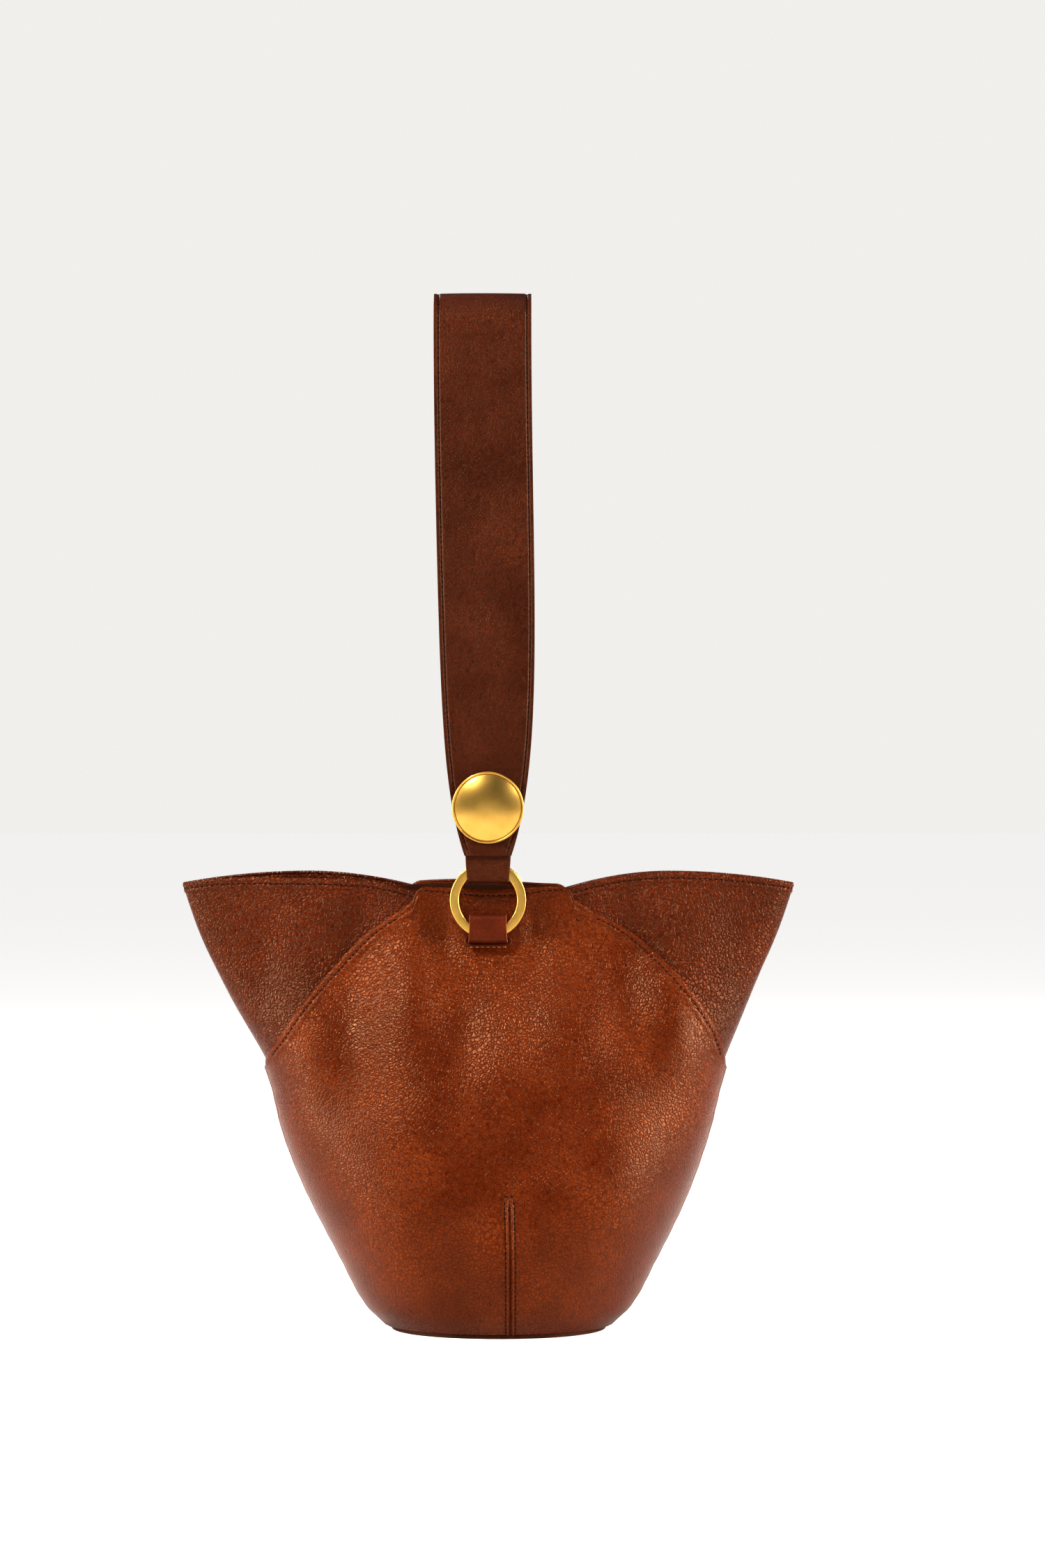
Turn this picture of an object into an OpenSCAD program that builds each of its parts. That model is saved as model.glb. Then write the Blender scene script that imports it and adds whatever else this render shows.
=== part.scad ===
// Leather bucket bag with flared wings, two hardware rings and one looped carry strap.
// The bag stands on its base at z = 0, with the origin under its middle. -Y is the front.

/* [Body] */
// Width across the two wing tips
body_w = 281; // [260:1:300]
// Height of the front and back panels at the middle of the mouth
body_h = 204.5; // [203:0.5:205]
// Depth of the body where it is fullest
body_d = 122; // [112:1:130]
// Width of the base
base_w = 99; // [90:1:106]
// Depth of the base
base_d = 88; // [80:1:94]
// Depth across the outside of the mouth
mouth_d = 29; // [27:0.5:30]
// Height of the wing rim's crest above the middle of the mouth
wing_rise = 6.5; // [4:0.5:7]
// Drop of the wing rim from its crest to the tip
tip_drop = 5; // [2:0.5:6]
// Thickness of the panel leather
leather_t = 1.8; // [1.6:0.1:1.8]
// Thickness of the lining and of the rim facing
lining_t = 0.9; // [0.6:0.1:1.2]
// Thickness of the stiffener in the base
board_t = 2; // [1.5:0.1:2.5]

/* [Panel seams] */
// Height at which the wings rise out of the side seams
seam_low = 121; // [115:1:127]
// Width of the front and back panels at the mouth
seam_top_w = 75; // [66:1:84]
// Width of wing leather tucked behind a panel edge
tuck = 9; // [6:1:12]

/* [Rings] */
// Outer diameter of a ring
ring_od = 35; // [34.8:0.1:35.2]
// Inner diameter of a ring
ring_id = 26.6; // [26.4:0.1:26.8]
// Thickness of a ring along its axis
ring_t = 4; // [3.8:0.1:4]
// Height of the ring centres
ring_z = 198; // [197.9:0.05:198.1]
// Distance of the ring centres from the middle of the bag
ring_y = 20.5; // [20.5:0.05:20.7]

/* [Strap] */
// Height of the top of the strap
strap_top = 478; // [440:1:520]
// Width of the strap
strap_w = 45; // [40:0.5:48]
// Width of the strap at its lower ends
strap_end_w = 22.6; // [21:0.1:24]
// Length over which the strap narrows
taper_l = 35; // [30:1:40]
// Height of the lower ends of the strap
strap_end_z = 218.5; // [218:0.5:220]
// Half of the space between the two runs of the strap at the top bend
bend_r = 12; // [9:0.5:14]
// Thickness of the strap's outer leather
face_t = 2; // [1.8:0.1:2.2]
// Thickness of the strap's inner leather
back_t = 1.4; // [1.2:0.1:1.4]
// Width of the tongues that carry the strap on the rings
tongue_w = 17.8; // [17:0.1:17.8]
// Width of the tabs that hold the rings on the panels
tab_w = 17.5; // [16.5:0.1:17.6]

/* [Studs] */
// Diameter of a stud
stud_d = 33; // [30:0.5:34]
// Height of a stud's dome above its rim
stud_dome = 3; // [2:0.1:4]
// Height of the stud centres
stud_z = 240.5; // [239:0.5:243]
// Diameter of the post of a stud
post_d = 5; // [4.6:0.1:5.4]

/* [Hidden] */
$fn = 96;

tan_leather = [0.47, 0.20, 0.08];
wing_leather = [0.42, 0.17, 0.07];
strap_leather = [0.34, 0.13, 0.05];
lining_cloth = [0.36, 0.22, 0.14];
board_grey = [0.45, 0.43, 0.40];
satin_brass = [0.80, 0.62, 0.20];

gap = 0.1;              // between flat layers that are sewn together
layer_gap = 0.35;        // between the curved layers of the body
slide = 0.3;            // between a leather loop and the ring that runs in it
base_t = 2;             // leather of the base
wing_in = leather_t + layer_gap;
half_w = body_w / 2 + wing_in;
facing_in = 2 * wing_in;
side_gap = 0.25;        // degrees left open at each side seam

// The body's outer surface by height: height, half width, half depth and squareness.
// Squareness 2 is an oval, and more than 4 is a slot with tight rounded ends.
stations = [
    [0,              base_w / 2,      base_d / 2,       2.1],
    [0.055 * body_h, half_w * 0.430,  body_d * 0.425,   2.1],
    [0.15 * body_h,  half_w * 0.505,  body_d * 0.478,   2.1],
    [0.30 * body_h,  half_w * 0.613,  body_d * 0.500,   2.15],
    [0.44 * body_h,  half_w * 0.692,  body_d * 0.468,   2.2],
    [0.57 * body_h,  half_w * 0.749,  body_d * 0.385,   2.3],
    [0.70 * body_h,  half_w * 0.830,  body_d * 0.275,   2.8],
    [0.80 * body_h,  half_w * 0.893,  body_d * 0.183,   3.3],
    [0.87 * body_h,  half_w * 0.939,  mouth_d * 0.565,  3.8],
    [0.93 * body_h,  half_w * 0.972,  mouth_d * 0.53,   4.3],
    [body_h,         half_w,          mouth_d / 2,      4.8],
    [1.06 * body_h,  half_w * 1.007,  mouth_d / 2 - 0.6, 5.0]
];
last_station = len(stations) - 1;

// Smooth curve through one column of the stations
function span_at(z, i = 0) = (i >= last_station - 1 || z < stations[i + 1][0]) ? i : span_at(z, i + 1);
function slope(i, c) =
    let(lo = max(i - 1, 0))
    let(hi = min(i + 1, last_station))
    (stations[hi][c] - stations[lo][c]) / (stations[hi][0] - stations[lo][0]);
function station(z, c) =
    let(i = span_at(z))
    let(run = stations[i + 1][0] - stations[i][0])
    let(t = (z - stations[i][0]) / run)
    stations[i][c] * (1 - 3 * t * t + 2 * t * t * t)
    + stations[i + 1][c] * (3 * t * t - 2 * t * t * t)
    + slope(i, c) * run * (t - 2 * t * t + t * t * t)
    + slope(i + 1, c) * run * (t * t * t - t * t);
function half_width(z) = station(z, 1);
function half_depth(z) = station(z, 2);

// Point of the body at a turn of "a" degrees from the front, "inset" below the outer surface
function body_point(z, a, inset) =
    let(s = sin(a))
    let(c = cos(a))
    let(roundness = sqrt(max(0, 1 - pow(abs(s), station(z, 3)))))
    [(half_width(z) - inset) * s, -sign(c) * (half_depth(z) - inset) * roundness, z];

// Half width of a panel at the seam, and the turn at which the seam lies
function seam_x(z) =
    let(t = min(1, max(0, (z - seam_low) / (body_h - seam_low))))
    seam_top_w / 2 + (half_width(seam_low) - seam_top_w / 2) * (1 - pow(t, 1.5));
function seam_turn(z) = z <= seam_low ? 90 : asin(min(1, seam_x(z) / half_width(z)));

// Rim of the wings: highest half way along, lower at the tips and where the panels cover them
crest_x = 0.3 * body_w;
crest_z = body_h + wing_rise;
function rim_z(x) =
    let(outward = (abs(x) - crest_x) / (body_w / 2 - crest_x))
    let(inward = (crest_x - abs(x)) / (crest_x - seam_top_w / 2))
    abs(x) > crest_x ? crest_z - tip_drop * pow(outward, 2) : crest_z - (wing_rise + 1) * pow(inward, 2);

// A sheet with a thickness: two grids of points with the same rows and columns, joined at their edges.
// The diagonals of the cells are mirrored across x = 0 and y = 0, so that layers lie evenly on each other.
function cell(a, b, c, d, turned = false) = turned ? [[a, b, d], [b, c, d]] : [[a, b, c], [a, c, d]];
function flat(lists) = [for (l = lists) for (e = l) e];
module sheet(outer, inner, closed = false) {
    rows = len(outer);
    cols = len(outer[0]);
    n = rows * cols;
    steps = closed ? cols - 1 : cols - 2;
    turned = [for (row = outer) [for (c = [0 : steps])
        let(middle = row[c] + row[(c + 1) % cols])
        middle[0] * middle[1] > 0]];
    outside = [for (r = [0 : rows - 2]) for (c = [0 : steps])
        cell(r * cols + c, (r + 1) * cols + c, (r + 1) * cols + (c + 1) % cols, r * cols + (c + 1) % cols,
             turned[r][c])];
    inside = [for (r = [0 : rows - 2]) for (c = [0 : steps])
        cell(n + r * cols + c, n + r * cols + (c + 1) % cols,
             n + (r + 1) * cols + (c + 1) % cols, n + (r + 1) * cols + c, turned[r][c])];
    low = [for (c = [0 : steps]) cell(c, (c + 1) % cols, n + (c + 1) % cols, n + c)];
    high = [for (c = [n - cols : n - cols + steps])
        let(next = n - cols + (c + 1 - n + cols) % cols)
        cell(c, n + c, n + next, next)];
    first = closed ? [] : [for (r = [0 : cols : n - 2 * cols]) cell(r, n + r, n + r + cols, r + cols)];
    last = closed ? [] : [for (r = [cols - 1 : cols : n - cols - 1])
        cell(r, r + cols, n + r + cols, n + r)];
    polyhedron(
        points = concat(flat(outer), flat(inner)),
        faces = flat(concat(outside, inside, low, high, first, last)));
}

// Grid of a panel, whose seam edges lean in above seam_low
panel_rows = 40;
panel_cols = 30;
function panel_row_z(r) = base_t + gap + (body_h - base_t - gap) * r / panel_rows;
function panel_grid(inset) = [for (r = [0 : panel_rows]) [for (c = [0 : panel_cols])
    let(z = panel_row_z(r))
    let(turn = min(90 - side_gap, seam_turn(z)) * (2 * c / panel_cols - 1))
    body_point(z, turn, inset)]];

// Grid of a wing, from behind the front panel's edge round the tip to behind the back panel's edge
wing_rows = 16;
wing_cols = 28;
wing_foot = seam_low - tuck;
function wing_turn(z) =
    let(x = max(seam_top_w / 2 - tuck, min(seam_x(z), half_width(z) - 1) - tuck))
    asin(min(1, x / half_width(z)));
function wing_point(z, turn, inset) =
    let(rise = (rim_z(body_point(z, turn, inset)[0]) - wing_foot) / (crest_z - wing_foot))
    body_point(wing_foot + (z - wing_foot) * rise, turn, inset);
function wing_grid(inset) = [for (r = [0 : wing_rows]) [for (c = [0 : wing_cols])
    let(z = wing_foot + (crest_z - wing_foot) * r / wing_rows)
    let(w = 2 * c / wing_cols - 1)
    let(edge = wing_turn(z))
    wing_point(z, 90 + (90 - edge) * w * pow(abs(w), 0.3), inset)]];

// Closed band round the whole body between two heights, with closer columns at the tips
band_cols = 64;
function band_grid(z0, z1, rows, inset) = [for (r = [0 : rows]) [for (c = [0 : band_cols - 1])
    let(turn = 360 * c / band_cols)
    body_point(z0 + (z1 - z0) * r / rows, turn + 15 * sin(2 * turn), inset)]];

function oval(z, inset, steps = 72) = [for (i = [0 : steps - 1])
    let(p = body_point(z, 360 * i / steps, inset))
    [p[0], p[1]]];

module oval_plate(z, t, outline) {
    translate([0, 0, z])
        linear_extrude(t)
            polygon(outline);
}

// Draws the front version of a piece, or turns it half a turn about Z for the back
module at_back() {
    rotate([0, 0, 180]) children();
}

// A flat outline in (distance from the middle, height), given a width along X at the front
module across(w) {
    rotate([90, 0, -90])
        translate([0, 0, -w / 2])
            linear_extrude(w)
                children();
}

// Rectangle with rounded corners
corner_steps = 6;
function corner(x, z, r, a0) = [for (i = [0 : corner_steps])
    let(a = a0 + 90 * i / corner_steps)
    [x + r * cos(a), z + r * sin(a)]];
module rounded_box(x0, z0, x1, z1, r) {
    polygon(concat(corner(x1 - r, z0 + r, r, 270), corner(x1 - r, z1 - r, r, 0),
                   corner(x0 + r, z1 - r, r, 90), corner(x0 + r, z0 + r, r, 180)));
}

// ---- Body ----

slit_z0 = ring_z - ring_od / 2 - slide - leather_t - gap;
slit_h = leather_t + 2 * gap;

module panel() {
    difference() {
        sheet(panel_grid(0), panel_grid(leather_t));
        translate([-tab_w / 2 - gap, -mouth_d / 2 - 6, slit_z0])
            cube([tab_w + 2 * gap, 12, slit_h]);
    }
}

module front_panel() {
    color(tan_leather) panel();
}

module back_panel() {
    color(tan_leather) at_back() panel();
}

module wing() {
    sheet(wing_grid(wing_in), wing_grid(wing_in + leather_t));
}

module right_wing() {
    color(wing_leather) wing();
}

module left_wing() {
    color(wing_leather) at_back() wing();
}

facing_z = 0.80 * body_h;
lining_z = base_t + board_t + lining_t + 3 * gap;

module rim_facing() {
    color(wing_leather)
        sheet(band_grid(facing_z, body_h - 1.5, 6, facing_in),
              band_grid(facing_z, body_h - 1.5, 6, facing_in + lining_t), closed = true);
}

module body_lining() {
    color(lining_cloth)
        sheet(band_grid(lining_z, facing_z - gap, 16, facing_in),
              band_grid(lining_z, facing_z - gap, 16, facing_in + lining_t), closed = true);
}

module base_lining() {
    color(lining_cloth)
        oval_plate(base_t + board_t + 2 * gap, lining_t, oval(base_t + board_t, facing_in));
}

module base_board() {
    color(board_grey)
        oval_plate(base_t + gap, board_t, oval(base_t, leather_t + 0.5));
}

module base_panel() {
    color(tan_leather)
        oval_plate(0, base_t, oval(0, 0));
}

// ---- Ring tabs ----

tab_ply = 1.6;
tab_in = ring_y - ring_t / 2 - slide;
tab_out = ring_y + ring_t / 2 + slide;
tab_low = ring_z - ring_od / 2 - slide;
tab_high = ring_z - sqrt(pow(ring_id / 2, 2) - pow(tab_w / 2, 2)) + slide;
tail_z = slit_z0 - 17;
tail_t = 1;

// The end of a tab inside the bag lies along the panel's inner face
function tail_edge(inset) = [for (i = [0 : 6])
    let(z = slit_z0 + (tail_z - slit_z0) * i / 6)
    [half_depth(z) - inset, z]];
function reversed(l) = [for (i = [len(l) - 1 : -1 : 0]) l[i]];

module tab() {
    tail_in = half_depth(slit_z0) - leather_t - gap - tail_t;
    across(tab_w)
        difference() {
            rounded_box(tab_in - tab_ply, tab_low - tab_ply, tab_out + tab_ply, tab_high + tab_ply, 1.4);
            rounded_box(tab_in, tab_low, tab_out, tab_high, 0.25);
        }
    // Neck through the slit, then down behind the panel
    across(tab_w)
        polygon(concat(
            [[tail_in, tab_low], [tab_in + 1, tab_low - 0.02], [tab_in + 1, tab_low - tab_ply + 0.02],
             [tail_in + tail_t, tab_low - tab_ply]],
            tail_edge(leather_t + gap),
            reversed(tail_edge(leather_t + gap + tail_t))));
}

module front_tab() {
    color(strap_leather) tab();
}

module back_tab() {
    color(strap_leather) at_back() tab();
}

backing_w = 26;
backing_t = 0.7;

module tab_backing() {
    across(backing_w)
        polygon(concat(
            tail_edge(leather_t + tail_t + 2 * gap),
            reversed(tail_edge(leather_t + tail_t + 2 * gap + backing_t))));
}

module front_tab_backing() {
    color(lining_cloth) tab_backing();
}

module back_tab_backing() {
    color(lining_cloth) at_back() tab_backing();
}

// ---- Rings ----

ring_bevel = 0.5;

module ring() {
    r0 = ring_id / 2;
    r1 = ring_od / 2;
    h = ring_t / 2;
    translate([0, -ring_y, ring_z])
        rotate([90, 0, 0])
            rotate_extrude()
                polygon([[r0 + ring_bevel, -h], [r1 - ring_bevel, -h], [r1, -h + ring_bevel],
                         [r1, h - ring_bevel], [r1 - ring_bevel, h], [r0 + ring_bevel, h],
                         [r0, h - ring_bevel], [r0, -h + ring_bevel]]);
}

module front_ring() {
    color(satin_brass) ring();
}

module back_ring() {
    color(satin_brass) at_back() ring();
}

// ---- Strap ----

// The strap is drawn as a loop in (distance from the middle, height), then cut to its width
tongue_ply = 1.6;
strap_y = ring_y + ring_t / 2 + slide + tongue_ply + gap;
core_t = tongue_ply + 2 * gap;
straight_z = stud_z + stud_d / 2 + 8;
bend_z = strap_top - face_t - bend_r;
bend_steps = 16;
run_steps = 24;

function run_y(z) = z <= straight_z ? strap_y
    : bend_r + (strap_y - bend_r) * (1 + cos(180 * (z - straight_z) / (bend_z - straight_z))) / 2;
function run_lean(z) = (run_y(z + 0.5) - run_y(z - 0.5));
function run_point(z, d) =
    let(m = z >= bend_z - 0.6 ? 0 : run_lean(z))
    let(k = sqrt(1 + m * m))
    [run_y(z) + d / k, z - d * m / k];
function run_side(z0, d) = [for (i = [0 : run_steps])
    let(z = z0 + (bend_z - z0) * i / run_steps)
    run_point(z, d)];
function bend(d) = [for (i = [1 : bend_steps - 1])
    let(a = 180 * i / bend_steps)
    [(bend_r + d) * cos(a), bend_z + (bend_r + d) * sin(a)]];
function other_side(l) = [for (p = reversed(l)) [-p[0], p[1]]];
function loop_line(z0, d) = concat(
    [run_point(z0, d)], run_side(straight_z, d), bend(d), other_side(run_side(straight_z, d)),
    [[-run_point(z0, d)[0], z0]]);

// One layer of the strap between offsets d0 and d1 from its neutral line
module strap_layer(z0, d0, d1) {
    polygon(concat(loop_line(z0, d1), reversed(loop_line(z0, d0))));
}

function strap_half(z) = strap_w / 2 - (strap_w - strap_end_w) / 2 * exp(-(z - strap_end_z) / taper_l);
taper_steps = 14;
taper_z = [for (i = [0 : taper_steps]) strap_end_z + 4 * taper_l * pow(i / taper_steps, 1.6)];

module strap_outline(inset = 0) {
    polygon(concat(
        [for (z = taper_z) [strap_half(z) - inset, z]],
        [[strap_w / 2 - inset, strap_top + 5], [-strap_w / 2 + inset, strap_top + 5]],
        reversed([for (z = taper_z) [-strap_half(z) + inset, z]])));
}

module cut_to_width(inset = 0) {
    intersection() {
        across(strap_w + 10) children();
        translate([0, 60, 0])
            rotate([90, 0, 0])
                linear_extrude(120)
                    strap_outline(inset);
    }
}

module post_holes(clearance) {
    for (side = [-1, 1])
        translate([0, side * strap_y, stud_z])
            rotate([90, 0, 0])
                cylinder(d = post_d + 2 * clearance, h = 16, center = true);
}

module strap_face() {
    color(strap_leather)
        difference() {
            cut_to_width() strap_layer(strap_end_z, 0, face_t);
            post_holes(0.05);
        }
}

core_z = stud_z + stud_d / 2 + 2;

module strap_core() {
    color(board_grey)
        cut_to_width(2.5) strap_layer(core_z, -core_t + 0.05, -0.05);
}

module strap_lining() {
    color(strap_leather)
        difference() {
            cut_to_width() strap_layer(strap_end_z, -core_t - back_t, -core_t);
            post_holes(0.05);
        }
}

tongue_in = ring_y - ring_t / 2 - slide;
tongue_out = ring_y + ring_t / 2 + slide;
tongue_low = ring_z + sqrt(pow(ring_id / 2, 2) - pow(tongue_w / 2, 2)) - slide;
tongue_high = ring_z + ring_od / 2 + 0.4;
tongue_end_z = stud_z + stud_d / 2 - 2;
tongue_back_y = strap_y - core_t - back_t - gap;

// One ply goes up between the strap's leathers, and the other goes up behind them
module tongue() {
    out = tongue_out + tongue_ply;
    back = tongue_in - tongue_ply;
    difference() {
        union() {
            across(tongue_w)
                difference() {
                    rounded_box(back, tongue_low - tongue_ply, out, tongue_high + 1.2, 1.2);
                    rounded_box(tongue_in, tongue_low, tongue_out, tongue_high, 0.25);
                }
            across(tongue_w)
                polygon([[out - tongue_ply, tongue_high - 2], [out, tongue_high - 2],
                         [out, tongue_end_z], [out - tongue_ply, tongue_end_z]]);
            across(tongue_w)
                polygon([[tongue_in, tongue_high + 0.05], [back + 0.3, tongue_high + 0.05],
                         [tongue_back_y - tongue_ply, tongue_high + 5],
                         [tongue_back_y - tongue_ply, tongue_end_z], [tongue_back_y, tongue_end_z],
                         [tongue_back_y, tongue_high + 4]]);
        }
        translate([0, -strap_y, stud_z])
            rotate([90, 0, 0])
                cylinder(d = post_d + 0.1, h = 16, center = true);
    }
}

module front_tongue() {
    color(strap_leather) tongue();
}

module back_tongue() {
    color(strap_leather) at_back() tongue();
}

// ---- Studs ----

stud_rim = 1.4;
stud_face_y = strap_y + face_t + gap;
post_l = face_t + core_t + back_t + tongue_ply + 3 * gap;
screw_d = 3;
screw_head_d = 12;
screw_head_t = 1.6;

// Turned about its own axis: z = 0 lies on the strap and +z faces outwards
module stud_body() {
    r = stud_d / 2;
    step = 0.9;
    cap_r = (pow(r - step, 2) + pow(stud_dome, 2)) / (2 * stud_dome);
    rotate_extrude()
        union() {
            polygon([[0, 0], [r - 0.3, 0], [r, 0.3], [r, stud_rim - 0.3], [r - 0.3, stud_rim],
                     [r - step, stud_rim], [0, stud_rim]]);
            intersection() {
                translate([0, stud_rim + stud_dome - cap_r])
                    circle(cap_r, $fn = 240);
                translate([0, stud_rim - 0.2])
                    square([r - step, stud_dome + 1]);
            }
            translate([screw_d / 2 + 0.05, -post_l])
                square([(post_d - screw_d) / 2 - 0.05, post_l + 0.1]);
        }
}

module stud_screw() {
    difference() {
        union() {
            translate([0, 0, -post_l - gap - screw_head_t])
                cylinder(d = screw_head_d, h = screw_head_t);
            translate([0, 0, -post_l - gap - 0.1])
                cylinder(d = screw_d, h = post_l - 0.4);
        }
        translate([-screw_head_d / 2 - 1, -0.6, -post_l - gap - screw_head_t - 0.1])
            cube([screw_head_d + 2, 1.2, 0.9]);
    }
}

module at_stud() {
    translate([0, -stud_face_y, stud_z])
        rotate([90, 0, 0])
            children();
}

module front_stud_cap() {
    color(satin_brass) at_stud() stud_body();
}

module back_stud_cap() {
    color(satin_brass) at_back() at_stud() stud_body();
}

module front_stud_screw() {
    color(satin_brass) at_stud() stud_screw();
}

module back_stud_screw() {
    color(satin_brass) at_back() at_stud() stud_screw();
}

front_panel();
back_panel();
left_wing();
right_wing();
rim_facing();
body_lining();
base_lining();
base_board();
base_panel();
front_tab();
back_tab();
front_tab_backing();
back_tab_backing();
front_ring();
back_ring();
strap_face();
strap_core();
strap_lining();
front_tongue();
back_tongue();
front_stud_cap();
back_stud_cap();
front_stud_screw();
back_stud_screw();
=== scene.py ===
import math
import bpy
import numpy as np
from mathutils import Matrix, Vector


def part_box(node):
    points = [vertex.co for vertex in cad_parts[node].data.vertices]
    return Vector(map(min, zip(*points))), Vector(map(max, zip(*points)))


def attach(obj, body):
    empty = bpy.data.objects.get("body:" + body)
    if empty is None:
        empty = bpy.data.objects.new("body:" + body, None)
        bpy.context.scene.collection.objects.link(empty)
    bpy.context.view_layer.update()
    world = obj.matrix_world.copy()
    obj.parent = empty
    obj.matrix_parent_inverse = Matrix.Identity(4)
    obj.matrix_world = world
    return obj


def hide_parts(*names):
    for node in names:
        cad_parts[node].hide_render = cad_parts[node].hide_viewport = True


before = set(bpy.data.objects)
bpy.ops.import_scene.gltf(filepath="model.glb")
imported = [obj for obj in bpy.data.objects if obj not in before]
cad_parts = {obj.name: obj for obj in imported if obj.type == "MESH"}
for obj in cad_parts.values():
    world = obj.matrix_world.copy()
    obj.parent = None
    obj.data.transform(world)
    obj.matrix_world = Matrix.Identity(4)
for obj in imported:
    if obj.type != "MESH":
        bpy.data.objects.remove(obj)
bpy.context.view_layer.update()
mm = 0.001
print("frame loaded")


def clearSelection():
    if bpy.context.object and bpy.context.object.mode != "OBJECT":
        bpy.ops.object.mode_set(mode="OBJECT")
    bpy.ops.object.select_all(action="DESELECT")


def choose(piece):
    clearSelection()
    piece.select_set(True)
    bpy.context.view_layer.objects.active = piece


def shapeWith(piece, kind, **settings):  # adds a modifier and applies it
    choose(piece)
    modifier = piece.modifiers.new(kind.lower(), kind)
    for name, value in settings.items():
        setattr(modifier, name, value)
    bpy.ops.object.modifier_apply(modifier=modifier.name)


def inEditMode(piece, *jobs):  # does some edit mode operators on the whole of a piece
    choose(piece)
    bpy.ops.object.mode_set(mode="EDIT")
    bpy.ops.mesh.select_all(action="SELECT")
    for job, settings in jobs:
        job(**settings)
        bpy.ops.mesh.select_all(action="SELECT")
    bpy.ops.object.mode_set(mode="OBJECT")


def smooth(t):
    t = np.clip(t, 0, 1)
    return t * t * (3 - 2 * t)


def hump(t):
    return np.exp(-np.square(t))


def steps(stops, counts):  # places from stop to stop, with its own number of even steps between each two
    parts = [np.linspace(a, b, n, endpoint=False) for a, b, n in zip(stops, stops[1:], counts)]
    return np.concatenate(parts + [[stops[-1]]])


def lengthAlong(path):  # distance from its start to each of its points
    return np.concatenate([[0], np.cumsum(np.linalg.norm(np.diff(path, axis=0), axis=1))])


def unit(rows):
    return rows / np.linalg.norm(rows, axis=1, keepdims=True)


def normalsOf(points):
    normal = np.cross(np.gradient(points, axis=1), np.gradient(points, axis=0))
    return normal / np.maximum(np.linalg.norm(normal, axis=2, keepdims=True), 1e-12)


def raised(points, height):  # moves a grid of points outwards by a height at each
    return points + normalsOf(points) * np.asarray(height)[..., None]


def facing(points, side):  # side 1 is the front, and side -1 the back: the front turned half way round
    return points if side > 0 else points * np.array([-1, -1, 1])


def sheetOn(name, points, joinEnds=False):  # a grid primitive, laid on rows and columns of points
    rows, columns = points.shape[:2]
    clearSelection()
    bpy.ops.mesh.primitive_grid_add(x_subdivisions=columns - 1, y_subdivisions=rows - 1, size=1)
    sheet = bpy.context.object
    sheet.name = name
    co = np.empty(len(sheet.data.vertices) * 3)
    sheet.data.vertices.foreach_get("co", co)
    co = co.reshape(-1, 3)
    column = np.rint((co[:, 0] + 0.5) * (columns - 1)).astype(int)
    row = np.rint((co[:, 1] + 0.5) * (rows - 1)).astype(int)
    sheet.data.vertices.foreach_set("co", points[row, column].ravel())
    sheet.data.update()
    if joinEnds:
        inEditMode(sheet, (bpy.ops.mesh.remove_doubles, {"threshold": 2e-6}))
    return sheet


def thicken(sheet, thickness, roundEdge):  # the thickness goes in, away from the outer face
    shapeWith(sheet, "SOLIDIFY", thickness=thickness, offset=-1)
    shapeWith(sheet, "BEVEL", width=roundEdge, segments=3, limit_method="ANGLE",
              angle_limit=math.radians(50))
    choose(sheet)
    bpy.ops.object.shade_smooth()
    return sheet


def finishPiece(piece, body, slot, material, *nodes):
    piece.data.materials.clear()
    piece.data.materials.append(material)
    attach(piece, body)
    if nodes:
        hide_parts(*nodes)
    return piece


def paintEdges(piece, material, sideways=0.62):  # cut edges are the faces turned this far to a side
    piece.data.materials.append(material)
    for face in piece.data.polygons:
        if abs(face.normal.x) > sideways:
            face.material_index = 1


# Materials

def shade(hexColour):  # sRGB hex to linear
    channels = [int(hexColour[i:i + 2], 16) / 255 for i in (1, 3, 5)]
    return [c / 12.92 if c <= 0.04045 else ((c + 0.055) / 1.055) ** 2.4 for c in channels] + [1]


def addNode(tree, kind, inputs=None, **settings):
    added = tree.nodes.new(kind)
    for name, value in settings.items():
        setattr(added, name, value)
    for socket, value in (inputs or {}).items():
        if isinstance(value, bpy.types.NodeSocket):
            tree.links.new(value, added.inputs[socket])
        else:
            added.inputs[socket].default_value = value
    return added


def newMaterial(name, **surface):
    material = bpy.data.materials.new(name)
    material.use_nodes = True
    tree = material.node_tree
    tree.nodes.clear()
    sockets = {words.replace("_", " "): value for words, value in surface.items()}
    shader = addNode(tree, "ShaderNodeBsdfPrincipled", sockets)
    addNode(tree, "ShaderNodeOutputMaterial", {"Surface": shader.outputs[0]})
    where = addNode(tree, "ShaderNodeTexCoord").outputs["Object"]
    return material, tree, shader, where


def blendOf(tree, factor, stops):  # stops are (place, colour as hex, or a level of grey)
    made = addNode(tree, "ShaderNodeValToRGB", {"Fac": factor})
    elements = made.color_ramp.elements
    while len(elements) < len(stops):
        elements.new(0.5)
    for element, (place, colour) in zip(elements, stops):
        element.position = place
        element.color = shade(colour) if isinstance(colour, str) else (colour, colour, colour, 1)
    return made.outputs["Color"]


def sumOf(tree, base, *parts):  # base plus each output times its weight
    total = base
    for output, weight in parts:
        added = addNode(tree, "ShaderNodeMath", {0: output, 1: weight, 2: total}, operation="MULTIPLY_ADD")
        total = added.outputs[0]
    return total


def finishShader(tree, shader, colour, rough, height, relief):  # relief is in mm
    bump = addNode(tree, "ShaderNodeBump", {"Height": height, "Strength": 1.0, "Distance": relief * mm})
    tree.links.new(colour, shader.inputs["Base Color"])
    tree.links.new(rough, shader.inputs["Roughness"])
    tree.links.new(bump.outputs[0], shader.inputs["Normal"])


waxShine = (1.0, 0.62, 0.34, 1.0)  # the tinted wax finish warms what the leather reflects


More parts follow.
